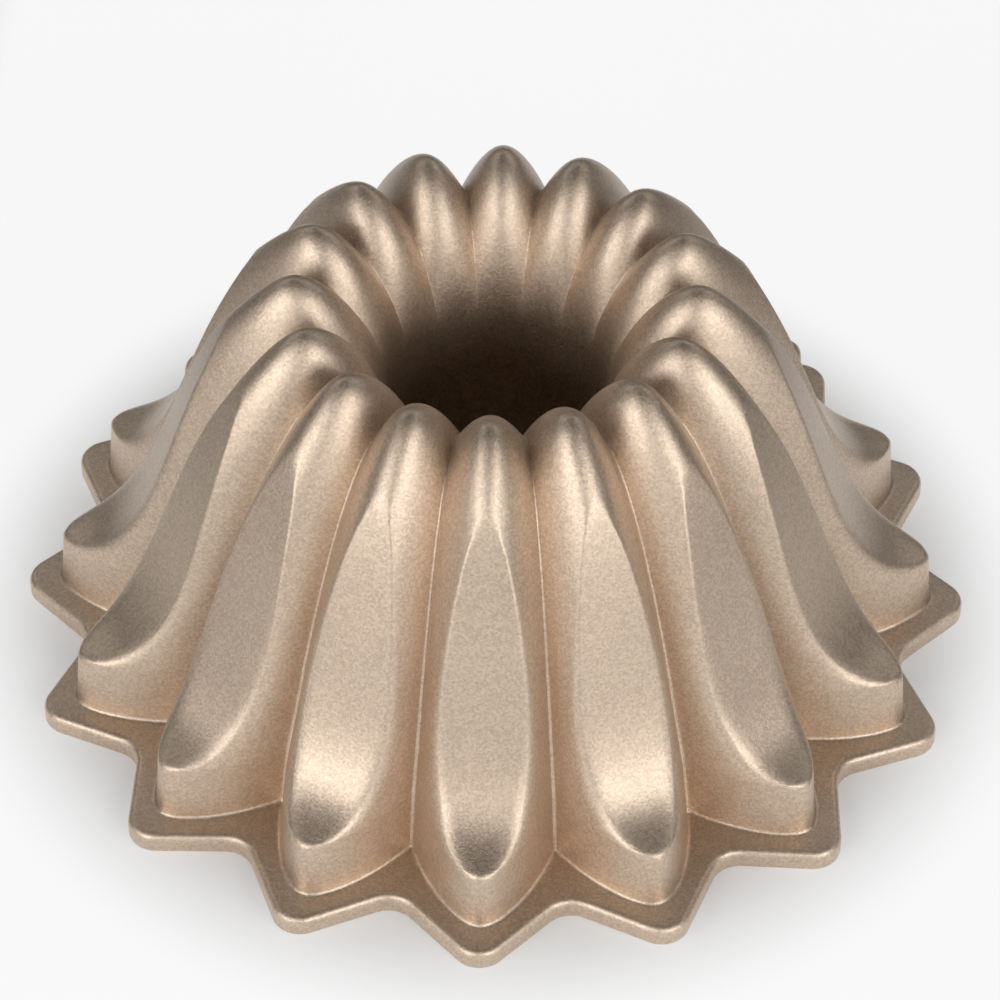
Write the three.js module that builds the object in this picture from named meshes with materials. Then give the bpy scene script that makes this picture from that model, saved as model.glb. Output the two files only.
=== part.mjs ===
// Cast aluminium ring cake pan with sixteen petals, turned upside down so that it rests on its flange.
// Millimetres, +Z up, the pan's axis on Z and the flange's underside at z = 0.
// Petal 01 points along -Y, and the numbers run anticlockwise seen from above.

import * as THREE from 'three';

// The casting
const PETALS = 16;
const HEIGHT = 117.7;              // flange underside to the top of the crown
const WALL = 3.2;

// Petal wall
const TOE_RADIUS = 118.9;          // axis to a petal's front edge on the flange
const TOE_DRAFT = 1.5;             // how far that edge leans in by the top of the toe
const TOE_HEIGHT = 17.4;           // upright front edge, from the flange up to the leaf
const TOE_DEPTH = 25.2;            // front edge to crease, on the flange
const CREASE_DRAFT = 3.6;          // how far the crease leans in beside the toe
const CREASE_RISE = 28.8;          // length and lean of the crease's curve above the toe
const CREASE_LEAN = 10.2;
const RIDGE_RISE = 29.1;           // the same for the ridge, as it would run without its leaf
const RIDGE_LEAN = 10.1;

// Leaf: the flat that is scooped out of a petal's ridge
const LEAF_END_SHARE = 0.7;        // where its tip meets the ridge, along the way from toe to crown
const LEAF_DEPTH_SHARE = 0.46;     // share of the petal's depth that its long scoop takes away
const LEAF_FLARE_SHARE = 0.18;     // how soon the scoop flares out to the toe
const LEDGE_DEPTH_SHARE = 0.2;     // the same for the ledge at the leaf's foot
const LEDGE_FLARE_SHARE = 0.03;
const LEAF_TAPER_POWER = 2.3;      // how late the leaf narrows to its tip

// Crown and throat
const CROWN_RADIUS = 51.8;         // axis to the highest line
const CROWN_FLUTE = 12.1;          // depth of the creases at the top
const CROWN_SHIFT = 5.2;           // the creases' highest point lies this much nearer the axis
const CROWN_RIDGE_REACH = 12.4;    // how wide the ridges and the creases turn, outside and in the throat
const CROWN_CREASE_REACH = 20.8;
const THROAT_RIDGE_REACH = 9;
const THROAT_CREASE_REACH = 6.6;
const THROAT_DEPTH = 41.7;         // crown top to the round tube
const THROAT_RIDGE_FALL = 22;
const THROAT_CREASE_FALL = 14.1;

// Centre tube
const TUBE_RADIUS = 29;            // bore at the throat
const TUBE_DRAFT = 3;              // how much the bore narrows towards its foot
const TUBE_LIFT = 1.5;             // foot above the ground

// Rim flange: a flat star with rounded points and notches
const FLANGE_THICKNESS = 5.9;
const FLANGE_POINT_LEDGE = 9.1;    // toe to point
const FLANGE_NOTCH_LEDGE = 18.8;   // crease to notch
const FLANGE_POINT_ROUND = 7.5;
const FLANGE_NOTCH_ROUND = 7.6;
const FLANGE_BEVEL = 1.4;          // broken top edge

// Section of a petal: exponents of its rounded arch, on the wall and on the crown
const WALL_SIDE_POWER = 1.3;
const WALL_TIP_POWER = 1.5;
const CROWN_SIDE_POWER = 1;
const CROWN_TIP_POWER = 2;

// The inside lies deeper than one wall where the casting is pointed
const CREASE_WALL_RATIO = 2;
const TOE_WALL_RATIO = 1.4;
const TOE_TOP_WALL_RATIO = 0.9;
const CROWN_CREASE_WALL_RATIO = 2.6;
const CROWN_RIDGE_WALL_RATIO = 1.5;
const INNER_LEAF_RATIO = 0.89;     // the leaf's depth there, against the outside

// Facets
const HALF_ARCH_STEPS = 4;         // from a crease to the ridge
const LEAF_ROWS = [0.02, 0.06, 0.14, 0.27, 0.45, 0.66, 0.87];
const CROWN_ROWS = [0.77, 0.88, 1];
const THROAT_ROWS = [1.15, 1.32, 1.5, 1.72, 2];
const POINT_ARC_STEPS = 3;
const NOTCH_ARC_STEPS = 2;

const PETAL_HALF_ANGLE = Math.PI / PETALS;
const TUBE_TOP = HEIGHT - THROAT_DEPTH;
const ROWS = [-1, 0, ...LEAF_ROWS.map((share) => share * LEAF_END_SHARE), ...CROWN_ROWS, ...THROAT_ROWS];

const satinGold = { color: 0xd1bda8, roughness: 0.5, metalness: 1 };

const at = (r, z) => new THREE.Vector2(r, z);

// Crease and ridge of one face of the casting: the outside, or the inside when inset is the wall.
function petalForm(inset) {
  const toeTop = FLANGE_THICKNESS + TOE_HEIGHT - TOE_TOP_WALL_RATIO * inset;
  const toe = TOE_RADIUS - TOE_WALL_RATIO * inset;
  const crease = TOE_RADIUS - TOE_DEPTH - CREASE_WALL_RATIO * inset;
  const creaseTop = HEIGHT - CROWN_FLUTE - CROWN_CREASE_WALL_RATIO * inset;
  const ridgeTop = HEIGHT - CROWN_RIDGE_WALL_RATIO * inset;
  const creaseCrown = CROWN_RADIUS - CROWN_SHIFT;
  const bore = TUBE_RADIUS + inset;
  const creaseToe = crease - CREASE_DRAFT;
  const ridgeToe = toe - TOE_DRAFT;
  return {
    leafRatio: inset > 0 ? INNER_LEAF_RATIO : 1,
    crease: [
      new THREE.LineCurve(at(crease, FLANGE_THICKNESS), at(creaseToe, toeTop)),
      new THREE.CubicBezierCurve(
        at(creaseToe, toeTop),
        at(creaseToe - CREASE_LEAN, toeTop + CREASE_RISE),
        at(creaseCrown + CROWN_CREASE_REACH, creaseTop),
        at(creaseCrown, creaseTop),
      ),
      new THREE.CubicBezierCurve(
        at(creaseCrown, creaseTop),
        at(creaseCrown - THROAT_CREASE_REACH, creaseTop),
        at(bore, TUBE_TOP + THROAT_CREASE_FALL),
        at(bore, TUBE_TOP),
      ),
    ],
    ridge: [
      new THREE.LineCurve(at(toe, FLANGE_THICKNESS), at(ridgeToe, toeTop)),
      new THREE.CubicBezierCurve(
        at(ridgeToe, toeTop),
        at(ridgeToe - RIDGE_LEAN, toeTop + RIDGE_RISE),
        at(CROWN_RADIUS + CROWN_RIDGE_REACH, ridgeTop),
        at(CROWN_RADIUS, ridgeTop),
      ),
      new THREE.CubicBezierCurve(
        at(CROWN_RADIUS, ridgeTop),
        at(CROWN_RADIUS - THROAT_RIDGE_REACH, ridgeTop),
        at(bore, TUBE_TOP + THROAT_RIDGE_FALL),
        at(bore, TUBE_TOP),
      ),
    ],
  };
}

// A row's place runs from -1 to 0 up the toe, to 1 over the wall and to 2 down the throat.
function along(curves, place) {
  const piece = Math.min(Math.floor(place) + 1, curves.length - 1);
  return curves[piece].getPoint(place + 1 - piece);
}

// Share of the petal's depth that the leaf leaves at this place.
function leafShare(form, place) {
  const way = place / LEAF_END_SHARE;
  if (way <= 0 || way >= 1) return 1;
  const scoop = LEAF_DEPTH_SHARE * (1 - Math.exp(-way / LEAF_FLARE_SHARE));
  const ledge = LEDGE_DEPTH_SHARE * (1 - Math.exp(-way / LEDGE_FLARE_SHARE));
  return 1 - form.leafRatio * (scoop + ledge) * (1 - way ** LEAF_TAPER_POWER);
}

// One row of a petal from crease to crease: points of x outward, y along the rim and z up.
function petalRow(form, place) {
  const crease = along(form.crease, place);
  const ridge = along(form.ridge, place);
  const creaseX = crease.x * Math.cos(PETAL_HALF_ANGLE);
  const creaseY = crease.x * Math.sin(PETAL_HALF_ANGLE);
  const crown = THREE.MathUtils.smoothstep(place, 0, 1);
  const side = THREE.MathUtils.lerp(WALL_SIDE_POWER, CROWN_SIDE_POWER, crown);
  const tip = THREE.MathUtils.lerp(WALL_TIP_POWER, CROWN_TIP_POWER, crown);
  const share = leafShare(form, place);
  const sidePoints = share < 1 ? HALF_ARCH_STEPS - 1 : HALF_ARCH_STEPS;
  const lastAngle = Math.asin(share ** (side / 2));
  const half = [];
  for (let i = 0; i <= HALF_ARCH_STEPS; i += 1) {
    const angle = (lastAngle * Math.min(i, sidePoints)) / sidePoints;
    const depth = Math.sin(angle) ** (2 / side);
    const width = i === HALF_ARCH_STEPS ? 0 : Math.cos(angle) ** (2 / tip);
    half.push(new THREE.Vector3(
      creaseX + (ridge.x - creaseX) * depth,
      creaseY * width,
      crease.y + (ridge.y - crease.y) * depth,
    ));
  }
  const mirrored = half.slice(0, -1).reverse().map((p) => new THREE.Vector3(p.x, -p.y, p.z));
  return [...half, ...mirrored];
}

const outside = petalForm(0);
const inside = petalForm(WALL);
const outerRows = ROWS.map((place) => petalRow(outside, place));
const innerRows = ROWS.map((place) => petalRow(inside, place));

const petalAngle = (index) => -Math.PI / 2 + index * 2 * PETAL_HALF_ANGLE;

// Collects quads and turns them into a mesh of one closed body.
class Shell {
  constructor() {
    this.corners = [];
  }

  triangle(a, b, c) {
    this.corners.push(a, b, c);
  }

  quad(a, b, c, d) {
    this.triangle(a, b, c);
    this.triangle(a, c, d);
  }

  // Joins two rows of points, side by side; closed rows also join last to first.
  band(from, to, closed = false) {
    const count = closed ? from.length : from.length - 1;
    for (let i = 0; i < count; i += 1) {
      const next = (i + 1) % from.length;
      this.quad(from[i], to[i], to[next], from[next]);
    }
  }

  mesh(name) {
    const geometry = new THREE.BufferGeometry().setFromPoints(this.corners);
    geometry.computeVertexNormals();
    const mesh = new THREE.Mesh(geometry, new THREE.MeshStandardMaterial(satinGold));
    mesh.name = name;
    return mesh;
  }
}

// One petal: wall, leaf, crown flute and throat, between the two flat cuts at its creases.
function petal(index) {
  const shell = new Shell();
  const last = ROWS.length - 1;
  for (let i = 0; i < last; i += 1) {
    shell.band(outerRows[i], outerRows[i + 1]);
    shell.band(innerRows[i + 1], innerRows[i]);
  }
  shell.band(innerRows[0], outerRows[0]);
  shell.band(outerRows[last], innerRows[last]);
  const edge = outerRows[0].length - 1;
  const outerLeft = outerRows.map((row) => row[0]);
  const innerLeft = innerRows.map((row) => row[0]);
  const outerRight = outerRows.map((row) => row[edge]);
  const innerRight = innerRows.map((row) => row[edge]);
  shell.band(outerLeft, innerLeft);
  shell.band(innerRight, outerRight);
  const mesh = shell.mesh(`petal_${String(index + 1).padStart(2, '0')}`);
  mesh.geometry.rotateZ(petalAngle(index));
  return mesh;
}

// The same row of every petal, as one closed ring of points.
function ring(row, scale = 1, z = row[0].z) {
  const points = [];
  for (let k = 0; k < PETALS; k += 1) {
    const petalPoints = row.slice(1).reverse();
    for (const p of petalPoints) {
      const turned = p.clone().applyAxisAngle(new THREE.Vector3(0, 0, 1), petalAngle(k));
      points.push(new THREE.Vector3(turned.x * scale, turned.y * scale, z));
    }
  }
  return points;
}

function centreTube() {
  const last = ROWS.length - 1;
  const footScale = (radius) => (radius - TUBE_DRAFT) / radius;
  const boreTop = ring(outerRows[last]);
  const boreFoot = ring(outerRows[last], footScale(TUBE_RADIUS), TUBE_LIFT);
  const wallTop = ring(innerRows[last]);
  const wallFoot = ring(innerRows[last], footScale(TUBE_RADIUS + WALL), TUBE_LIFT);
  const shell = new Shell();
  shell.band(boreFoot, boreTop, true);
  shell.band(boreTop, wallTop, true);
  shell.band(wallTop, wallFoot, true);
  shell.band(wallFoot, boreFoot, true);
  return shell.mesh('centre_tube');
}

// Star outline of the flange, drawn in by the given amount: two arcs a petal and the straights between.
function starOutline(inset) {
  const pointRadius = TOE_RADIUS + FLANGE_POINT_LEDGE;
  const notchRadius = TOE_RADIUS - TOE_DEPTH + FLANGE_NOTCH_LEDGE;
  const pointCentre = at(pointRadius - FLANGE_POINT_ROUND, 0);
  const notchCentre = at(notchRadius + FLANGE_NOTCH_ROUND, 0).rotateAround(at(0, 0), PETAL_HALF_ANGLE);
  const between = notchCentre.clone().sub(pointCentre);
  // The straight side touches both arcs from opposite sides.
  const lean = Math.acos((FLANGE_POINT_ROUND + FLANGE_NOTCH_ROUND) / between.length());
  const sideAngle = between.angle() - lean;
  const points = [];
  for (let k = 0; k < PETALS; k += 1) {
    const local = [];
    for (let i = -POINT_ARC_STEPS; i <= POINT_ARC_STEPS; i += 1) {
      const angle = (sideAngle * i) / POINT_ARC_STEPS;
      const radius = FLANGE_POINT_ROUND - inset;
      local.push(at(pointCentre.x + radius * Math.cos(angle), radius * Math.sin(angle)));
    }
    for (let i = -NOTCH_ARC_STEPS; i <= NOTCH_ARC_STEPS; i += 1) {
      const swing = ((PETAL_HALF_ANGLE - sideAngle) * i) / NOTCH_ARC_STEPS;
      const angle = Math.PI + PETAL_HALF_ANGLE + swing;
      const radius = FLANGE_NOTCH_ROUND + inset;
      local.push(at(notchCentre.x + radius * Math.cos(angle), notchCentre.y + radius * Math.sin(angle)));
    }
    points.push(...local.map((p) => p.rotateAround(at(0, 0), petalAngle(k))));
  }
  return points;
}

function rimFlange() {
  const level = (outline, z) => outline.map((p) => new THREE.Vector3(p.x, p.y, z));
  const foot = level(starOutline(0), 0);
  const shoulder = level(starOutline(0), FLANGE_THICKNESS - FLANGE_BEVEL);
  const rim = level(starOutline(FLANGE_BEVEL), FLANGE_THICKNESS);
  const mouthTop = ring(innerRows[0]);
  const mouthFoot = ring(innerRows[0], 1, 0);
  const shell = new Shell();
  shell.band(shoulder, foot, true);
  shell.band(rim, shoulder, true);
  shell.band(mouthFoot, mouthTop, true);
  const cover = (outer, hole, up) => {
    const flat = [...outer, ...hole];
    for (const [a, b, c] of THREE.ShapeUtils.triangulateShape(outer, [hole])) {
      const turn = flat[b].clone().sub(flat[a]).cross(flat[c].clone().sub(flat[a])).z;
      if (turn > 0 === up) shell.triangle(flat[a], flat[b], flat[c]);
      else shell.triangle(flat[a], flat[c], flat[b]);
    }
  };
  cover(rim, mouthTop, true);
  cover(foot, mouthFoot, false);
  return shell.mesh('rim_flange');
}

const pan = new THREE.Group();
pan.name = 'ring_cake_pan';
pan.add(rimFlange());
for (let index = 0; index < PETALS; index += 1) pan.add(petal(index));
pan.add(centreTube());

export default pan;
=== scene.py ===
"""Fluted ring cake pan in cast aluminium: its fine surfaces, satin finish and studio."""

import math

import bpy
import numpy as np
from bpy.props import FloatProperty, FloatVectorProperty, IntProperty, PointerProperty
from mathutils import Matrix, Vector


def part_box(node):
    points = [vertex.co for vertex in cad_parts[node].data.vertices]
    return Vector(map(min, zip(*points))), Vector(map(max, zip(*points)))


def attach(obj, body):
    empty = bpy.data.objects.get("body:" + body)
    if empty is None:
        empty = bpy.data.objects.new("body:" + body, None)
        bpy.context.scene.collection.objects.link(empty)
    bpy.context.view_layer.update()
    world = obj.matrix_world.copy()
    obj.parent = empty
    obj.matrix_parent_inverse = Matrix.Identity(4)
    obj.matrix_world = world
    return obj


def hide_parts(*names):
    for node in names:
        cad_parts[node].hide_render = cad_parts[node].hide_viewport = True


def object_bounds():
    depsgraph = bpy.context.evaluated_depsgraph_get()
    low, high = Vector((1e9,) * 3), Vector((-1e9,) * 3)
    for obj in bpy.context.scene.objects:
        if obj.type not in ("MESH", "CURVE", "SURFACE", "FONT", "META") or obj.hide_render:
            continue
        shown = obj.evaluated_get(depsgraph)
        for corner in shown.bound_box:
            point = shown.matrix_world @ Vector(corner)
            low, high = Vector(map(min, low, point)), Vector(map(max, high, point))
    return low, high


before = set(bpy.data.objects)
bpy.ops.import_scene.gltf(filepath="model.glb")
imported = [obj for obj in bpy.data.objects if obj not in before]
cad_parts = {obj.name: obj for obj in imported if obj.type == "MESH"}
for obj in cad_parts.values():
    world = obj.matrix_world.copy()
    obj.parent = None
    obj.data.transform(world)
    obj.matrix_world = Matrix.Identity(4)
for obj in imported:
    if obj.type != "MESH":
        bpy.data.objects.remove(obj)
CAD_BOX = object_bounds()

bl_info = {
    "name": "Fluted Ring Cake Pan",
    "version": (1, 0, 0),
    "blender": (4, 5, 0),
    "location": "View3D > Sidebar > Cake Pan",
    "description": "Builds a cast ring cake pan with petals, a star flange and a centre tube",
    "category": "Object",
}

MM = 0.001
FINISH_NAME = "champagne_satin"
FLANGE_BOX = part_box("rim_flange")
TUBE_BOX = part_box("centre_tube")

# How many walls deep the inside lies, where the casting is pointed
TOE_TOP_WALLS = 0.9
TOE_WALLS = 1.4
CREASE_WALLS = 2
CROWN_CREASE_WALLS = 2.6
CROWN_RIDGE_WALLS = 1.5

# Where the columns of a petal lie, in shares of its half width, and how they crowd towards the crease
LEAF_EDGE_BAND = 0.06
LEAF_EDGE_RANGE = (0.2, 0.85)
CREASE_BAND = 0.04
CREASE_CROWDING = 1.6

# Columns of half a petal: at the crease, on the side, at the leaf's edge and on the leaf
PETAL_STEPS = (5, 8, 6, 5)
INNER_STEPS = (2, 5, 4, 3)

# Rows of a petal on the toe, the leaf, the crown and the throat, and how they crowd towards the leaf's foot
OUTER_ROWS = (9, 32, 15, 26)
INNER_ROWS = (5, 16, 8, 12)
TOE_CROWDING = 1.8
LEAF_CROWDING = 1.7
INNER_LEAF_CROWDING = 1.5
FILLET_ROWS = 7

# Steps of the flange and the tube
FLANGE_COLUMNS = 49
POINT_ARC_STEPS = 12
NOTCH_ARC_STEPS = 10
RIM_STEPS = 6
UNDER_STEPS = 3
TUBE_COLUMNS = 9
TUBE_ROWS = 9
TUBE_BEND_ROWS = 9

# Share of the rounding left at the leaf's tip
LEAST_LEAF_ROUND = 0.1

# Joining: shares that count as the same, welding of the sectors, and angle of the edges kept sharp
SAME_SHARE = 1e-9
WELD_DISTANCE = 0.002 * MM
SHARP_ANGLE = math.radians(48)

# Coat: sizes of its textures, and what each adds to the tone, the relief and the roughness
SAND_FINENESS = 0.8
SAND_DETAIL = 3.0
CLOUD_SCALE = 45.0
CLOUD_DETAIL = 2.0
FLAKE_TONE = 0.6
SAND_TONE = 0.5
CLOUD_TONE = 0.2
TONE_DROP = 0.15
RELIEF_STRENGTH = 0.8
RELIEF_HEIGHT = 0.12 * MM
SAND_RELIEF = 0.7
FLAKE_RELIEF = 0.3
SAND_ROUGHNESS = 0.15
CLOUD_ROUGHNESS = 0.09
ROUGHNESS_DROP = 0.12
LACQUER_ROUGHNESS = 0.35

# Lamps at both sides: name, degrees from the pan's front and above the horizon, and size in metres
SIDE_LAMPS = (
    ("main", 36, 26, (1.0, 0.42)),
    ("low", 42, 8, (0.8, 0.25)),
    ("side", 65, 30, (0.55, 0.6)),
    ("back", 130, 38, (0.8, 0.8)),
)
BACK_LAMP = (180, 42, (1.0, 0.4))

# Floor: how the white sheet's oval is scaled and shifted, and where it fades in and out, in flange radii;
# inside where it fades in, near the pan, the floor keeps a painted shade ring
SHEET_SHAPE = (2.2, 0.5, 0)
SHEET_SHIFT = (0, -0.125, 0)
PAINTED_SHADE_RADII = (0.75, 1.2)
SHEET_END = (2.75, 3.4)

# Studio
SENSOR_WIDTH = 36
CLIP_END = 20
LAMP_AIM = (0, 0, 0.05)
LAMP_DISTANCE = 1.4
FLOOR_REACH = 6
FLOOR_DROP = 0.2 * MM


def length(name, millimetres, description):
    """A size that is written in millimetres and kept in metres."""
    return FloatProperty(
        name=name, description=description, default=millimetres * MM, unit="LENGTH", subtype="DISTANCE"
    )


def share(name, value, description):
    """A plain number, such as a share or an exponent."""
    return FloatProperty(name=name, description=description, default=value)


class PanSizes(bpy.types.PropertyGroup):
    """Sizes of the casting."""

    petals: IntProperty(name="Petals", description="Number of petals round the pan", default=16, min=3)
    height: length("Height", CAD_BOX[1][2] / MM, "Flange underside to the top of the crown")
    wall: length("Wall", 3.2, "Thickness of the casting")

    toe_radius: length("Toe Radius", 118.9, "Axis to a petal's front edge on the flange")
    toe_draft: length("Toe Draft", 1.5, "How far the front edge leans in by the top of the toe")
    toe_height: length("Toe Height", 17.4, "Upright front edge, from the flange up to the leaf")
    toe_depth: length("Toe Depth", 25.2, "Front edge to crease, on the flange")
    crease_draft: length("Crease Draft", 3.6, "How far the crease leans in beside the toe")
    crease_rise: length("Crease Rise", 28.8, "Upward pull of the crease's curve above the toe")
    crease_lean: length("Crease Lean", 10.2, "Inward pull of the crease's curve above the toe")
    ridge_rise: length("Ridge Rise", 29.1, "Upward pull of the ridge's curve above the toe")
    ridge_lean: length("Ridge Lean", 10.1, "Inward pull of the ridge's curve above the toe")

    leaf_end: share("Leaf End", 0.7, "Where the leaf's tip meets the ridge, on the way from toe to crown")
    leaf_depth: share("Leaf Depth", 0.46, "Share of the petal's depth that the leaf's long scoop takes away")
    leaf_flare: share("Leaf Flare", 0.18, "How soon the scoop flares out to the toe")
    ledge_depth: share("Ledge Depth", 0.2, "Share of the depth that the ledge at the leaf's foot takes away")
    ledge_flare: share("Ledge Flare", 0.03, "How soon the ledge runs out to the toe")
    leaf_taper: share("Leaf Taper", 2.3, "How late the leaf narrows to its tip")
    inner_leaf: share("Inner Leaf", 0.89, "The leaf's depth on the inside of the pan, against the outside")

    crown_radius: length("Crown Radius", 51.8, "Axis to the highest line")
    crown_flute: length("Crown Flute", 12.1, "Depth of the creases at the top")
    crown_shift: length("Crown Shift", 5.2, "How much nearer the axis the creases are highest")
    crown_ridge_reach: length("Crown Ridge Reach", 12.4, "How wide the ridges turn over the crown")
    crown_crease_reach: length("Crown Crease Reach", 20.8, "How wide the creases turn over the crown")
    throat_ridge_reach: length("Throat Ridge Reach", 9, "How wide the ridges turn into the throat")
    throat_crease_reach: length("Throat Crease Reach", 6.6, "How wide the creases turn into the throat")
    throat_ridge_fall: length("Throat Ridge Fall", 22, "How steeply the ridges run out above the tube")
    throat_crease_fall: length("Throat Crease Fall", 14.1, "How steeply the creases run out above the tube")

    tube_radius: length("Tube Radius", 29, "Bore at the throat")
    tube_draft: length("Tube Draft", 3, "How much the bore narrows towards its foot")
    tube_top: length("Tube Top", TUBE_BOX[1][2] / MM, "Height where the throat ends in the tube")
    tube_lift: length("Tube Lift", TUBE_BOX[0][2] / MM, "Foot of the tube above the ground")

    flange_thickness: length("Flange Thickness", FLANGE_BOX[1][2] / MM, "Thickness of the rim flange")
    flange_radius: length("Flange Radius", FLANGE_BOX[1][0] / MM, "Axis to the flange's rounded points")
    notch_ledge: length("Notch Ledge", 18.8, "Crease to the flange's notch")
    point_round: length("Point Round", 7.5, "Rounding of the flange's points")
    notch_round: length("Notch Round", 7.6, "Rounding of the flange's notches")

    wall_side: share("Wall Side", 1.3, "Exponent of a petal's section at its sides, on the wall")
    wall_tip: share("Wall Tip", 1.5, "Exponent of a petal's section at its ridge, on the wall")
    crown_side: share("Crown Side", 1.0, "Exponent of a petal's section at its sides, on the crown")
    crown_tip: share("Crown Tip", 2.0, "Exponent of a petal's section at its ridge, on the crown")

    foot_fillet: length("Foot Fillet", 1.2, "Fillet between the petals and the flange")
    rim_round: length("Rim Round", 1.9, "Rounding of the flange's top edge")
    under_round: length("Under Round", 0.8, "Rounding of the edges that face the ground")
    crease_round: share("Crease Round", 0.018, "Rounding at the bottom of the creases")
    ridge_round: share("Ridge Round", 0.15, "Rounding of the toe's front edge")
    leaf_round: share("Leaf Round", 0.2, "Rounding of the leaf's edge")


class PanFinish(bpy.types.PropertyGroup):
    """Colours and grain of the coat."""

    flake: FloatVectorProperty(
        name="Flake", description="Colour of the bright flakes", subtype="COLOR", size=3,
        default=(0.82, 0.665, 0.525), min=0, max=1,
    )
    shade: FloatVectorProperty(
        name="Shade", description="Colour of the dull grains", subtype="COLOR", size=3,
        default=(0.53, 0.415, 0.315), min=0, max=1,
    )
    grain: length("Grain", 0.54, "Size of one grain of the coat")
    roughness: share("Roughness", 0.5, "Mean roughness of the coat")
    lacquer: share("Lacquer", 0.4, "How much clear lacquer lies over the flakes")


class StudioSettings(bpy.types.PropertyGroup):
    """Camera and lights."""

    target: FloatVectorProperty(
        name="Target", description="Point that the camera looks at", subtype="XYZ", unit="LENGTH", size=3,
        default=(0.00123, 0.00003, 0.03943),
    )
    distance: length("Distance", 1073.8, "Camera to target")
    azimuth: FloatProperty(
        name="Azimuth", description="Turn of the camera round the pan", subtype="ANGLE",
        default=math.radians(1.568),
    )
    elevation: FloatProperty(
        name="Elevation", description="Camera above the horizon", subtype="ANGLE",
        default=math.radians(45.393),
    )
    roll: FloatProperty(
        name="Roll", description="Tilt of the picture", subtype="ANGLE", default=math.radians(0.376)
    )
    lens: FloatProperty(
        name="Lens", description="Focal length on a 36 mm wide frame", subtype="DISTANCE_CAMERA",
        default=144.02,
    )
    floor: FloatVectorProperty(
        name="Floor", description="Colour of the floor", subtype="COLOR", size=3,
        default=(0.8, 0.8, 0.8), min=0, max=1,
    )
    whiteness: share("Whiteness", 0.9, "How far the floor is lifted to white where it is seen")
    main_light: share("Main Light", 5.5, "Brightness of the softboxes left and right of the camera")
    low_light: share("Low Light", 1.6, "Brightness of the low softboxes under those")
    side_light: share("Side Light", 1.3, "Brightness of the softboxes at the pan's sides")
    back_light: share("Back Light", 0.7, "Brightness of the softboxes behind the pan")
    room_light: share("Room Light", 0.04, "Brightness of the dark room")


def follow(curves, places):
    """Points of a chain of Bezier pieces; place -1 is its start, and each whole number a joint."""
    places = np.asarray(places, dtype=float)
    piece = np.clip(np.floor(places).astype(int) + 1, 0, len(curves) - 1)
    t = (places + 1 - piece)[..., None]
    a, b, c, d = np.moveaxis(np.array(curves)[piece], -2, 0)
    return (1 - t) ** 3 * a + 3 * (1 - t) ** 2 * t * b + 3 * (1 - t) * t ** 2 * c + t ** 3 * d


def straight(start, end):
    """A Bezier piece that is a straight line."""
    start, end = np.array(start), np.array(end)
    return [start, start + (end - start) / 3, start + (end - start) * 2 / 3, end]


def soft_min(a, b, reach):
    """The lesser of two heights, rounded where they cross."""
    near = np.maximum(reach - np.abs(a - b), 0) / reach
    return np.minimum(a, b) - near ** 2 * reach / 4


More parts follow.
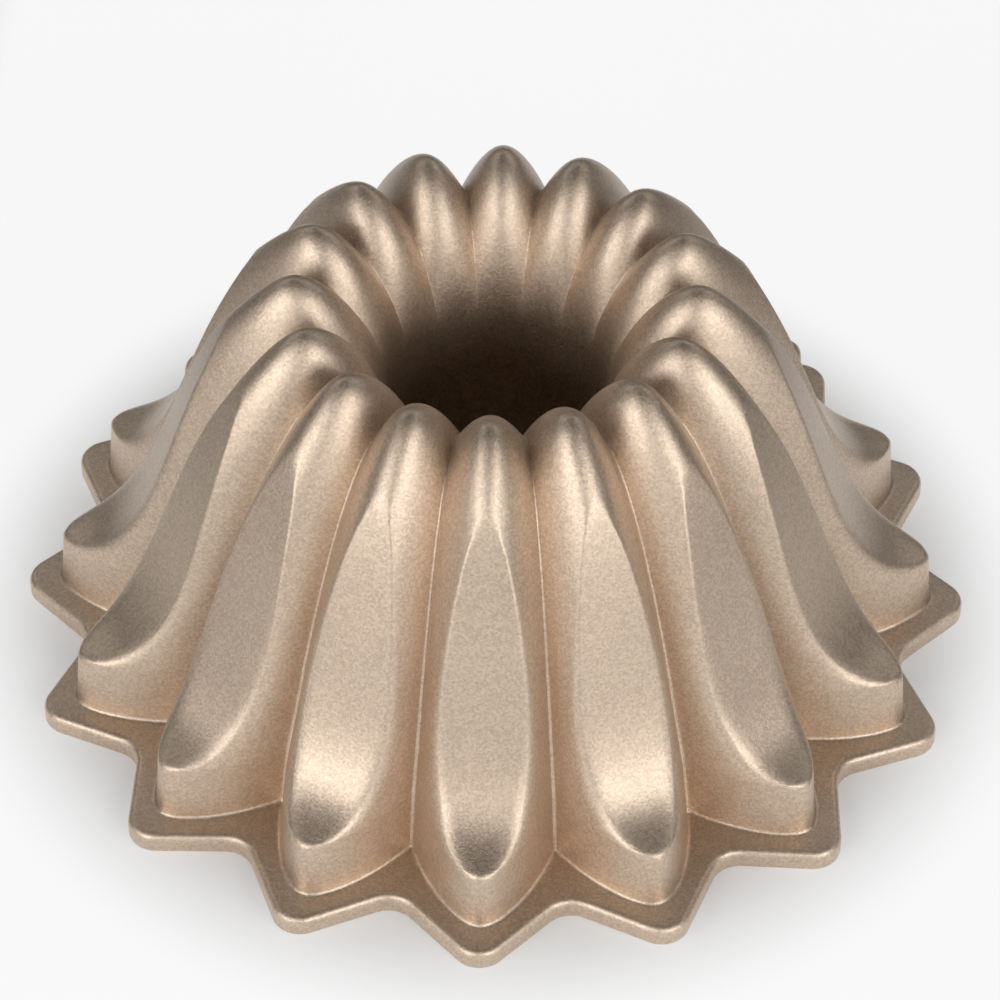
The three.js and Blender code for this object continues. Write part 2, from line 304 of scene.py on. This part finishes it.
class PetalFace:
    """One face of a petal, outside or inside, in a frame of x outward, y along the rim and z up."""

    def __init__(self, sizes, inside):
        s = self.sizes = sizes
        wall = s.wall if inside else 0.0
        self.half_angle = math.pi / s.petals
        self.leaf_share = s.inner_leaf if inside else 1.0
        base = s.flange_thickness
        toe_top = base + s.toe_height - TOE_TOP_WALLS * wall
        toe = s.toe_radius - TOE_WALLS * wall
        crease = s.toe_radius - s.toe_depth - CREASE_WALLS * wall
        crease_top = s.height - s.crown_flute - CROWN_CREASE_WALLS * wall
        ridge_top = s.height - CROWN_RIDGE_WALLS * wall
        crease_crown = s.crown_radius - s.crown_shift
        crease_toe = crease - s.crease_draft
        ridge_toe = toe - s.toe_draft
        tube = s.tube_radius + wall
        self.crease = [
            straight((crease, base), (crease_toe, toe_top)),
            [
                (crease_toe, toe_top),
                (crease_toe - s.crease_lean, toe_top + s.crease_rise),
                (crease_crown + s.crown_crease_reach, crease_top),
                (crease_crown, crease_top),
            ],
            [
                (crease_crown, crease_top),
                (crease_crown - s.throat_crease_reach, crease_top),
                (tube, s.tube_top + s.throat_crease_fall),
                (tube, s.tube_top),
            ],
        ]
        self.ridge = [
            straight((toe, base), (ridge_toe, toe_top)),
            [
                (ridge_toe, toe_top),
                (ridge_toe - s.ridge_lean, toe_top + s.ridge_rise),
                (s.crown_radius + s.crown_ridge_reach, ridge_top),
                (s.crown_radius, ridge_top),
            ],
            [
                (s.crown_radius, ridge_top),
                (s.crown_radius - s.throat_ridge_reach, ridge_top),
                (tube, s.tube_top + s.throat_ridge_fall),
                (tube, s.tube_top),
            ],
        ]

    def exponents(self, places):
        """Side and tip exponents of the petal's section."""
        s = self.sizes
        t = np.clip(places, 0, 1)
        crown = t * t * (3 - 2 * t)
        side = s.wall_side + (s.crown_side - s.wall_side) * crown
        tip = s.wall_tip + (s.crown_tip - s.wall_tip) * crown
        return side, tip

    def leaf(self, places):
        """Share of the petal's depth that the leaf leaves; over 1 where there is no leaf."""
        s = self.sizes
        # Above the toe the curve starts at three times its rise; the toe is counted at that pace.
        toe_pace = s.toe_height / (3 * s.crease_rise)
        way = np.where(places < 0, places * toe_pace, places) / s.leaf_end
        scoop = s.leaf_depth * (1 - np.exp(-way / s.leaf_flare))
        ledge = s.ledge_depth * (1 - np.exp(-way / s.ledge_flare))
        return 1 - self.leaf_share * (scoop + ledge) * (1 - np.maximum(way, 0) ** s.leaf_taper)

    def widths(self, places, crease_steps, side_steps, edge_steps, leaf_steps):
        """Width shares from crease, 1, to ridge, 0, close together at the crease and the leaf's edge."""
        side, tip = self.exponents(places)
        leaf = np.clip(self.leaf(places), 0, 1)
        band = LEAF_EDGE_BAND
        edge = np.clip((1 - leaf ** side) ** (1 / tip), *LEAF_EDGE_RANGE)
        crease = 1 - CREASE_BAND * np.linspace(0, 1, crease_steps + 1)[:-1] ** CREASE_CROWDING
        rows = []
        for middle in edge:
            sides = np.linspace(1 - CREASE_BAND, middle + band, side_steps + 1)[:-1]
            edges = np.linspace(middle + band, middle - band, edge_steps + 1)[:-1]
            leaves = np.linspace(middle - band, 0, leaf_steps + 1)
            rows.append(np.concatenate([crease, sides, edges, leaves]))
        return np.array(rows)

    def rows(self, places, steps):
        """Rows of points from crease to crease."""
        s = self.sizes
        places = np.asarray(places, dtype=float)
        width = self.widths(places, *steps)
        side, tip = (v[:, None] for v in self.exponents(places))
        nose = s.ridge_round * (1 - np.clip(places, 0, 1)[:, None])
        blunt = 1 - np.sqrt((1 - width) ** 2 + s.crease_round ** 2)
        blunt = np.sqrt(blunt ** 2 + nose ** 2) ** tip - nose ** tip
        arch = (1 - blunt / ((1 + nose ** 2) ** (tip / 2) - nose ** tip)) ** (1 / side)
        # The leaf's edge gets sharper towards its tip.
        way = np.clip(places[:, None] / s.leaf_end, 0, 1)
        reach = s.leaf_round * np.maximum(1 - way, LEAST_LEAF_ROUND)
        depth = soft_min(arch, self.leaf(places)[:, None], reach)
        crease = follow(self.crease, places)
        ridge = follow(self.ridge, places)
        crease_x = crease[:, :1] * math.cos(self.half_angle)
        x = crease_x + (ridge[:, :1] - crease_x) * depth
        y = crease[:, :1] * math.sin(self.half_angle) * width
        z = crease[:, 1:] + (ridge[:, 1:] - crease[:, 1:]) * depth
        # The crease itself stays on the cut between two petals.
        y[:, 0] = x[:, 0] * math.tan(self.half_angle)
        half = np.stack([x, y, z], axis=-1)
        mirrored = half[:, -2::-1] * (1, -1, 1)
        return np.concatenate([half, mirrored], axis=1)


class Sheet:
    """Collects the faces of one sector, which the ring tree then repeats."""

    def __init__(self):
        self.points = []
        self.faces = []

    def add(self, row):
        """Keeps a row of points and returns their numbers."""
        first = len(self.points)
        self.points.extend(tuple(p) for p in row)
        return list(range(first, len(self.points)))

    def band(self, low, high):
        """Joins two rows; rows of unlike lengths are joined with triangles as well."""
        i = j = 0
        while i < len(low) - 1 or j < len(high) - 1:
            low_next = (i + 1) / (len(low) - 1)
            high_next = (j + 1) / (len(high) - 1)
            if abs(low_next - high_next) < SAME_SHARE:
                self.faces.append((low[i], high[j], high[j + 1], low[i + 1]))
                i, j = i + 1, j + 1
            elif low_next < high_next:
                self.faces.append((low[i], high[j], low[i + 1]))
                i += 1
            else:
                self.faces.append((low[i], high[j], high[j + 1]))
                j += 1

    def loft(self, rows):
        """Joins rows in order and returns the numbers of the first and the last."""
        numbers = [self.add(row) for row in rows]
        for low, high in zip(numbers, numbers[1:]):
            self.band(low, high)
        return numbers[0], numbers[-1]

    def mesh(self, name):
        """The sector as a mesh."""
        mesh = bpy.data.meshes.new(name)
        mesh.from_pydata(self.points, [], self.faces)
        mesh.update()
        return mesh


def ring_tree():
    """Geometry nodes that set copies of a sector round the axis and weld them into one shell."""
    tree = bpy.data.node_groups.get("Ring Of Sectors")
    if tree:
        return tree
    tree = bpy.data.node_groups.new("Ring Of Sectors", "GeometryNodeTree")
    sockets = tree.interface
    sockets.new_socket("Sector", in_out="INPUT", socket_type="NodeSocketGeometry")
    sockets.new_socket("Copies", in_out="INPUT", socket_type="NodeSocketInt")
    sockets.new_socket("Weld", in_out="INPUT", socket_type="NodeSocketFloat")
    sockets.new_socket("Finish", in_out="INPUT", socket_type="NodeSocketMaterial")
    sockets.new_socket("Ring", in_out="OUTPUT", socket_type="NodeSocketGeometry")
    add = tree.nodes.new
    link = tree.links.new
    given = add("NodeGroupInput")
    places = add("GeometryNodeMeshLine")
    places.inputs["Offset"].default_value = (0, 0, 0)
    number = add("GeometryNodeInputIndex")
    turn = add("ShaderNodeMath")
    turn.operation = "DIVIDE"
    turn.inputs[0].default_value = math.tau
    angle = add("ShaderNodeMath")
    angle.operation = "MULTIPLY"
    about_axis = add("ShaderNodeCombineXYZ")
    copies = add("GeometryNodeInstanceOnPoints")
    real = add("GeometryNodeRealizeInstances")
    weld = add("GeometryNodeMergeByDistance")
    smooth = add("GeometryNodeSetShadeSmooth")
    coat = add("GeometryNodeSetMaterial")
    result = add("NodeGroupOutput")
    link(given.outputs["Copies"], places.inputs["Count"])
    link(given.outputs["Copies"], turn.inputs[1])
    link(number.outputs[0], angle.inputs[0])
    link(turn.outputs[0], angle.inputs[1])
    link(angle.outputs[0], about_axis.inputs["Z"])
    link(places.outputs[0], copies.inputs["Points"])
    link(given.outputs["Sector"], copies.inputs["Instance"])
    link(about_axis.outputs[0], copies.inputs["Rotation"])
    link(copies.outputs[0], real.inputs[0])
    link(real.outputs[0], weld.inputs["Geometry"])
    link(given.outputs["Weld"], weld.inputs["Distance"])
    link(weld.outputs[0], smooth.inputs["Geometry"])
    link(smooth.outputs[0], coat.inputs["Geometry"])
    link(given.outputs["Finish"], coat.inputs["Material"])
    link(coat.outputs[0], result.inputs["Ring"])
    return tree


def ring_piece(name, sector, copies, finish, nodes):
    """Repeats a sector round the axis and sets the result on the frame in place of its nodes."""
    seed = bpy.data.objects.new(f"{name}_sector", sector)
    bpy.context.scene.collection.objects.link(seed)
    modifier = seed.modifiers.new("Ring", "NODES")
    modifier.node_group = tree = ring_tree()
    keys = {item.name: item.identifier for item in tree.interface.items_tree if item.in_out == "INPUT"}
    modifier[keys["Copies"]] = copies
    modifier[keys["Weld"]] = WELD_DISTANCE
    modifier[keys["Finish"]] = finish
    graph = bpy.context.evaluated_depsgraph_get()
    mesh = bpy.data.meshes.new_from_object(seed.evaluated_get(graph))
    mesh.name = name
    bpy.data.objects.remove(seed)
    # The first petal points along -Y.
    mesh.transform(Matrix.Rotation(-math.pi / 2, 4, "Z"))
    mesh.set_sharp_from_angle(angle=SHARP_ANGLE)
    piece = bpy.data.objects.new(name, mesh)
    bpy.context.scene.collection.objects.link(piece)
    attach(piece, "root")
    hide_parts(*nodes)
    return piece


def foot_rows(face, sizes):
    """Rows of the fillet that runs from a petal's wall out to the flange."""
    radius = sizes.foot_fillet
    lift = radius / sizes.toe_height
    wall = face.rows([-1 + lift], PETAL_STEPS)[0]
    along = np.gradient(wall[:, :2], axis=0)
    outward = np.stack([-along[:, 1], along[:, 0]], axis=1)
    outward /= np.linalg.norm(outward, axis=1)[:, None]
    limit = math.tan(face.half_angle)
    rows = []
    for angle in np.linspace(math.pi / 2, 0, FILLET_ROWS)[:-1]:
        row = wall.copy()
        row[:, :2] += outward * radius * (1 - math.cos(angle))
        row[:, 2] = sizes.flange_thickness + radius * (1 - math.sin(angle))
        # Beside the crease the fillets of two petals meet on the cut between them.
        middle = len(row) // 2
        for part in (row[:middle], row[middle + 1:][::-1]):
            inside = np.abs(part[:, 1]) < part[:, 0] * limit
            first = int(np.argmax(inside))
            reach = part[first, 0]
            part[:first, 0] = reach
            part[:first, 1] = np.sign(part[first, 1]) * reach * limit
        rows.append(row)
    return rows


def petal_sector(sizes):
    """One petal from the flange over the crown down to the tube, outside and inside."""
    outside = PetalFace(sizes, inside=False)
    inside = PetalFace(sizes, inside=True)
    lift = sizes.foot_fillet / sizes.toe_height
    toe_rows, leaf_rows, crown_rows, throat_rows = OUTER_ROWS
    outer_places = [
        *-(1 - lift) * np.linspace(1, 0, toe_rows)[:-1] ** TOE_CROWDING,
        *sizes.leaf_end * np.linspace(0, 1, leaf_rows)[:-1] ** LEAF_CROWDING,
        *np.linspace(sizes.leaf_end, 1, crown_rows)[:-1],
        *np.linspace(1, 2, throat_rows),
    ]
    outer_rows = [*foot_rows(outside, sizes), *outside.rows(outer_places, PETAL_STEPS)]
    toe_rows, leaf_rows, crown_rows, throat_rows = INNER_ROWS
    inner_places = [
        *-np.linspace(1, 0, toe_rows)[:-1],
        *sizes.leaf_end * np.linspace(0, 1, leaf_rows)[:-1] ** INNER_LEAF_CROWDING,
        *np.linspace(sizes.leaf_end, 1, crown_rows)[:-1],
        *np.linspace(1, 2, throat_rows),
    ]
    inner_rows = inside.rows(inner_places, INNER_STEPS)
    sheet = Sheet()
    outer_foot, outer_end = sheet.loft(outer_rows)
    inner_end, inner_foot = sheet.loft(inner_rows[::-1])
    sheet.band(inner_foot, outer_foot)
    sheet.band(outer_end, inner_end)
    return sheet.mesh("petal_sector")


def spread(line, count):
    """The same line with evenly spaced points."""
    steps = np.linalg.norm(np.diff(line, axis=0), axis=1)
    way = np.concatenate([[0], np.cumsum(steps)])
    even = np.linspace(0, way[-1], count)
    return np.stack([np.interp(even, way, axis) for axis in line.T], axis=1)


def star_sector(sizes, inset):
    """The flange's edge from notch to notch, drawn in by the given amount."""
    half = math.pi / sizes.petals
    notch_radius = sizes.toe_radius - sizes.toe_depth + sizes.notch_ledge
    point = np.array([sizes.flange_radius - sizes.point_round, 0])
    notch = (notch_radius + sizes.notch_round) * np.array([math.cos(half), math.sin(half)])
    between = notch - point
    touch = (sizes.point_round + sizes.notch_round) / np.linalg.norm(between)
    side = math.atan2(between[1], between[0]) - math.acos(touch)
    point_arc = np.linspace(0, side, POINT_ARC_STEPS)
    notch_arc = np.linspace(math.pi + side, math.pi + half, NOTCH_ARC_STEPS)

    def around(centre, radius, angles):
        return centre + radius * np.stack([np.cos(angles), np.sin(angles)], axis=1)

    half_edge = np.concatenate([
        around(point, sizes.point_round - inset, point_arc),
        around(notch, sizes.notch_round + inset, notch_arc),
    ])[::-1]
    return np.concatenate([half_edge, half_edge[-2::-1] * (1, -1)])


def quarter(radius, steps):
    """Inset and drop of a rounded edge, from its flat to its side."""
    angles = np.linspace(0, math.pi / 2, steps + 1)
    return [(radius * (1 - math.sin(a)), radius * (1 - math.cos(a))) for a in angles]


def flange_sector(sizes):
    """One point of the flange: top face, rounded edge, underside and mouth."""
    top = sizes.flange_thickness
    mouth_line = PetalFace(sizes, inside=True).rows([-1], INNER_STEPS)[0][:, :2]
    mouth = spread(mouth_line, FLANGE_COLUMNS)

    def edge(inset, z):
        line = spread(star_sector(sizes, inset), FLANGE_COLUMNS)
        return np.column_stack([line, np.full(FLANGE_COLUMNS, z)])

    def lip(inset, z):
        radius = np.linalg.norm(mouth, axis=1)[:, None]
        return np.column_stack([mouth * (1 + inset / radius), np.full(FLANGE_COLUMNS, z)])

    rows = [lip(0, top)]
    rows += [edge(inset, top - drop) for inset, drop in quarter(sizes.rim_round, RIM_STEPS)]
    rows += [edge(inset, drop) for inset, drop in quarter(sizes.under_round, UNDER_STEPS)[::-1]]
    rows += [lip(inset, drop) for inset, drop in quarter(sizes.under_round, UNDER_STEPS)]
    sheet = Sheet()
    first, last = sheet.loft(rows[::-1])
    sheet.band(last, first)
    return sheet.mesh("flange_sector")


def tube_sector(sizes):
    """One slice of the centre tube."""
    half = math.pi / sizes.petals
    angles = np.linspace(half, -half, TUBE_COLUMNS)
    foot = sizes.tube_radius - sizes.tube_draft
    bend = sizes.wall / 2
    profile = [(sizes.tube_radius, sizes.tube_top)]
    for share_down in np.linspace(0, 1, TUBE_ROWS)[1:-1]:
        height = sizes.tube_top + (sizes.tube_lift + bend - sizes.tube_top) * share_down
        profile.append((sizes.tube_radius - sizes.tube_draft * share_down, height))
    for angle in np.linspace(0, math.pi, TUBE_BEND_ROWS):
        radius = foot + bend * (1 - math.cos(angle))
        profile.append((radius, sizes.tube_lift + bend * (1 - math.sin(angle))))
    profile.append((sizes.tube_radius + sizes.wall, sizes.tube_top))
    around = np.column_stack([np.cos(angles), np.sin(angles)])
    rows = [np.column_stack([r * around, np.full(TUBE_COLUMNS, z)]) for r, z in profile]
    sheet = Sheet()
    first, last = sheet.loft(rows)
    sheet.band(last, first)
    return sheet.mesh("tube_sector")


class Value:
    """A shader value that takes part in Python arithmetic."""

    def __init__(self, wires, socket):
        self.wires = wires
        self.socket = socket

    def combine(self, operation, first, second):
        """A Math node on two values."""
        return self.wires.add("ShaderNodeMath", {"operation": operation}, {0: first, 1: second})

    def __add__(self, other):
        return self.combine("ADD", self, other)

    def __sub__(self, other):
        return self.combine("SUBTRACT", self, other)

    def __rsub__(self, other):
        return self.combine("SUBTRACT", other, self)

    def __mul__(self, other):
        return self.combine("MULTIPLY", self, other)

    __radd__ = __add__
    __rmul__ = __mul__


class Wires:
    """Adds nodes to a material or world."""

    def __init__(self, owner):
        owner.use_nodes = True
        self.tree = owner.node_tree
        self.tree.nodes.clear()

    def add(self, kind, settings=None, inputs=None, output=0):
        """A node with its settings, then its sockets' values or links; returns one output."""
        node = self.tree.nodes.new(kind)
        for name, value in (settings or {}).items():
            setattr(node, name, value)
        for key, value in (inputs or {}).items():
            socket = node.inputs[key]
            if isinstance(value, Value):
                self.tree.links.new(value.socket, socket)
            else:
                socket.default_value = value
        return Value(self, node.outputs[output]) if node.outputs else None

    def step(self, value, low, high):
        """0 below one value and 1 above another, with a smooth rise between."""
        return self.add("ShaderNodeMapRange", {"interpolation_type": "SMOOTHSTEP"}, {
            "Value": value, "From Min": low, "From Max": high,
        })

    def mix(self, factor, first, second):
        """A colour between two others."""
        # The node's colours are its inputs 6 and 7 and its output 2.
        return self.add(
            "ShaderNodeMix", {"data_type": "RGBA"}, {0: factor, 6: first, 7: second}, output=2
        )


def champagne_finish(finish):
    """Satin champagne coat: bright and dull flakes in fine grains, sprayed a little unevenly."""
    material = bpy.data.materials.new(FINISH_NAME)
    wires = Wires(material)
    place = wires.add("ShaderNodeTexCoord", output="Object")
    fineness = 1 / finish.grain
    cells = wires.add("ShaderNodeTexVoronoi", inputs={"Vector": place, "Scale": fineness}, output="Color")
    flake = wires.add("ShaderNodeSeparateColor", inputs={0: cells})
    sand = wires.add("ShaderNodeTexNoise", inputs={
        "Vector": place, "Scale": fineness * SAND_FINENESS, "Detail": SAND_DETAIL,
    })
    cloud = wires.add("ShaderNodeTexNoise", inputs={
        "Vector": place, "Scale": CLOUD_SCALE, "Detail": CLOUD_DETAIL,
    })
    tone = flake * FLAKE_TONE + sand * SAND_TONE + cloud * CLOUD_TONE - TONE_DROP
    colour = wires.mix(tone, (*finish.shade, 1), (*finish.flake, 1))
    relief = sand * SAND_RELIEF + flake * FLAKE_RELIEF
    bump = wires.add("ShaderNodeBump", inputs={
        "Strength": RELIEF_STRENGTH, "Distance": RELIEF_HEIGHT, "Height": relief,
    })
    rough = finish.roughness - ROUGHNESS_DROP + sand * SAND_ROUGHNESS + cloud * CLOUD_ROUGHNESS
    shader = wires.add("ShaderNodeBsdfPrincipled", inputs={
        "Base Color": colour, "Roughness": rough, "Metallic": 1.0, "Normal": bump,
        "Coat Weight": finish.lacquer, "Coat Roughness": LACQUER_ROUGHNESS,
    })
    wires.add("ShaderNodeOutputMaterial", inputs={"Surface": shader})
    return material


def pan_material():
    """The pan's finish, made once."""
    return bpy.data.materials.get(FINISH_NAME) or champagne_finish(bpy.context.scene.pan_finish)


class PAN_OT_petals(bpy.types.Operator):
    """Build the ring of petals with their leaves, crown and throat"""

    bl_idname = "cake_pan.petals"
    bl_label = "Petals"

    def execute(self, context):
        sizes = context.scene.pan_sizes
        nodes = [f"petal_{number:02d}" for number in range(1, sizes.petals + 1)]
        ring_piece("petal_ring", petal_sector(sizes), sizes.petals, pan_material(), nodes)
        return {"FINISHED"}


class PAN_OT_flange(bpy.types.Operator):
    """Build the star-shaped rim flange"""

    bl_idname = "cake_pan.flange"
    bl_label = "Rim Flange"

    def execute(self, context):
        sizes = context.scene.pan_sizes
        ring_piece("star_flange", flange_sector(sizes), sizes.petals, pan_material(), ["rim_flange"])
        return {"FINISHED"}


class PAN_OT_tube(bpy.types.Operator):
    """Build the tapered centre tube"""

    bl_idname = "cake_pan.tube"
    bl_label = "Centre Tube"

    def execute(self, context):
        sizes = context.scene.pan_sizes
        ring_piece("tapered_tube", tube_sector(sizes), sizes.petals, pan_material(), ["centre_tube"])
        return {"FINISHED"}


def orbit(azimuth, elevation):
    """Turns something that looks down its own axis to look at the pan from this side."""
    return Matrix.Rotation(azimuth, 4, "Z") @ Matrix.Rotation(math.pi / 2 - elevation, 4, "X")


def add_camera(studio):
    """Camera at the photograph's angle."""
    data = bpy.data.cameras.new("camera")
    data.sensor_width = SENSOR_WIDTH
    data.lens = studio.lens
    data.clip_end = CLIP_END
    camera = bpy.data.objects.new("camera", data)
    bpy.context.scene.collection.objects.link(camera)
    roll = Matrix.Rotation(studio.roll, 4, "Z")
    away = Matrix.Translation((0, 0, studio.distance))
    turn = orbit(studio.azimuth, studio.elevation)
    camera.matrix_world = Matrix.Translation(studio.target) @ turn @ roll @ away
    bpy.context.scene.camera = camera


def add_softbox(name, azimuth, elevation, size, brightness):
    """A soft lamp that faces the pan, placed in degrees from the pan's front and above the horizon."""
    data = bpy.data.lights.new(name, "AREA")
    data.shape = "RECTANGLE"
    data.size, data.size_y = size
    data.energy = math.pi * size[0] * size[1] * brightness
    lamp = bpy.data.objects.new(name, data)
    turn = orbit(math.radians(azimuth), math.radians(elevation))
    away = Matrix.Translation((0, 0, LAMP_DISTANCE))
    lamp.matrix_world = Matrix.Translation(LAMP_AIM) @ turn @ away
    bpy.context.scene.collection.objects.link(lamp)


def floor_material(studio, sizes):
    """Pale floor that is lifted to white around the pan; near the pan the lift fades out, painting a ring of
    shade round the pan on top of the real shadow under it, also in the pan's reflections.
    """
    material = bpy.data.materials.new("pale_floor")
    wires = Wires(material)
    place = wires.add("ShaderNodeTexCoord", output="Object")
    radius = wires.add("ShaderNodeVectorMath", {"operation": "LENGTH"}, {0: place}, output="Value")
    sheet = wires.add("ShaderNodeVectorMath", {"operation": "MULTIPLY_ADD"}, {
        0: place, 1: SHEET_SHAPE, 2: SHEET_SHIFT,
    })
    reach = wires.add("ShaderNodeVectorMath", {"operation": "LENGTH"}, {0: sheet}, output="Value")
    # Near the pan the lift fades out: painted shade round the pan, seen directly and in the metal's
    # reflections, over the real shadow.
    clear = wires.step(radius, *(sizes.flange_radius * radii for radii in PAINTED_SHADE_RADII))
    far = wires.step(reach, *(sizes.flange_radius * radii for radii in SHEET_END))
    lift = clear * (1 - far) * studio.whiteness
    seen = wires.add("ShaderNodeLightPath", output="Is Camera Ray")
    seen += wires.add("ShaderNodeLightPath", output="Is Glossy Ray")
    seen += wires.add("ShaderNodeLightPath", output="Is Transmission Ray")
    lit = wires.add("ShaderNodeBsdfDiffuse", inputs={"Color": (*studio.floor, 1)})
    white = wires.add("ShaderNodeEmission", inputs={"Color": (1, 1, 1, 1), "Strength": 1.0})
    shader = wires.add("ShaderNodeMixShader", inputs={0: seen * lift, 1: lit, 2: white})
    wires.add("ShaderNodeOutputMaterial", inputs={"Surface": shader})
    return material


def add_floor(studio, sizes):
    """Plain floor on which the pan stands."""
    side = FLOOR_REACH
    corners = [(-side, -side), (side, -side), (side, side), (-side, side)]
    mesh = bpy.data.meshes.new("floor")
    mesh.from_pydata([(x, y, -FLOOR_DROP) for x, y in corners], [], [(0, 1, 2, 3)])
    mesh.materials.append(floor_material(studio, sizes))
    floor = bpy.data.objects.new("floor", mesh)
    bpy.context.scene.collection.objects.link(floor)


def add_world(studio):
    """Dark room round the lamps."""
    world = bpy.data.worlds.new("studio")
    wires = Wires(world)
    light = wires.add("ShaderNodeBackground", inputs={"Color": (1, 1, 1, 1), "Strength": studio.room_light})
    wires.add("ShaderNodeOutputWorld", inputs={"Surface": light})
    bpy.context.scene.world = world


class PAN_OT_studio(bpy.types.Operator):
    """Set up the floor, lamps, room light and camera"""

    bl_idname = "cake_pan.studio"
    bl_label = "Studio"

    def execute(self, context):
        studio = context.scene.pan_studio
        context.scene.view_settings.view_transform = "Standard"
        add_camera(studio)
        add_floor(studio, context.scene.pan_sizes)
        add_world(studio)
        add_softbox("back_softbox", *BACK_LAMP, studio.back_light)
        for name, sign in (("left", -1), ("right", 1)):
            for lamp, azimuth, elevation, size in SIDE_LAMPS:
                brightness = getattr(studio, f"{lamp}_light")
                add_softbox(f"{name}_{lamp}_softbox", sign * azimuth, elevation, size, brightness)
        return {"FINISHED"}


class PAN_PT_panel(bpy.types.Panel):
    """Sizes and steps of the cake pan"""

    bl_idname = "PAN_PT_panel"
    bl_label = "Ring Cake Pan"
    bl_space_type = "VIEW_3D"
    bl_region_type = "UI"
    bl_category = "Cake Pan"

    def draw(self, context):
        for operator in OPERATORS:
            self.layout.operator(operator.bl_idname)
        for group in (context.scene.pan_sizes, context.scene.pan_finish, context.scene.pan_studio):
            box = self.layout.box()
            for name in group.__annotations__:
                box.prop(group, name)


GROUPS = {"pan_sizes": PanSizes, "pan_finish": PanFinish, "pan_studio": StudioSettings}
OPERATORS = (PAN_OT_petals, PAN_OT_flange, PAN_OT_tube, PAN_OT_studio)


def register():
    """Adds the classes and the scene's settings."""
    for cls in (*GROUPS.values(), *OPERATORS, PAN_PT_panel):
        bpy.utils.register_class(cls)
    for name, cls in GROUPS.items():
        setattr(bpy.types.Scene, name, PointerProperty(type=cls))


def unregister():
    """Removes what register added."""
    for name in GROUPS:
        delattr(bpy.types.Scene, name)
    for cls in reversed((*GROUPS.values(), *OPERATORS, PAN_PT_panel)):
        bpy.utils.unregister_class(cls)


def main():
    """Builds the pan and its studio."""
    register()
    bpy.ops.cake_pan.studio()
    bpy.ops.cake_pan.petals()
    bpy.ops.cake_pan.flange()
    bpy.ops.cake_pan.tube()


if __name__ == "__main__":
    main()
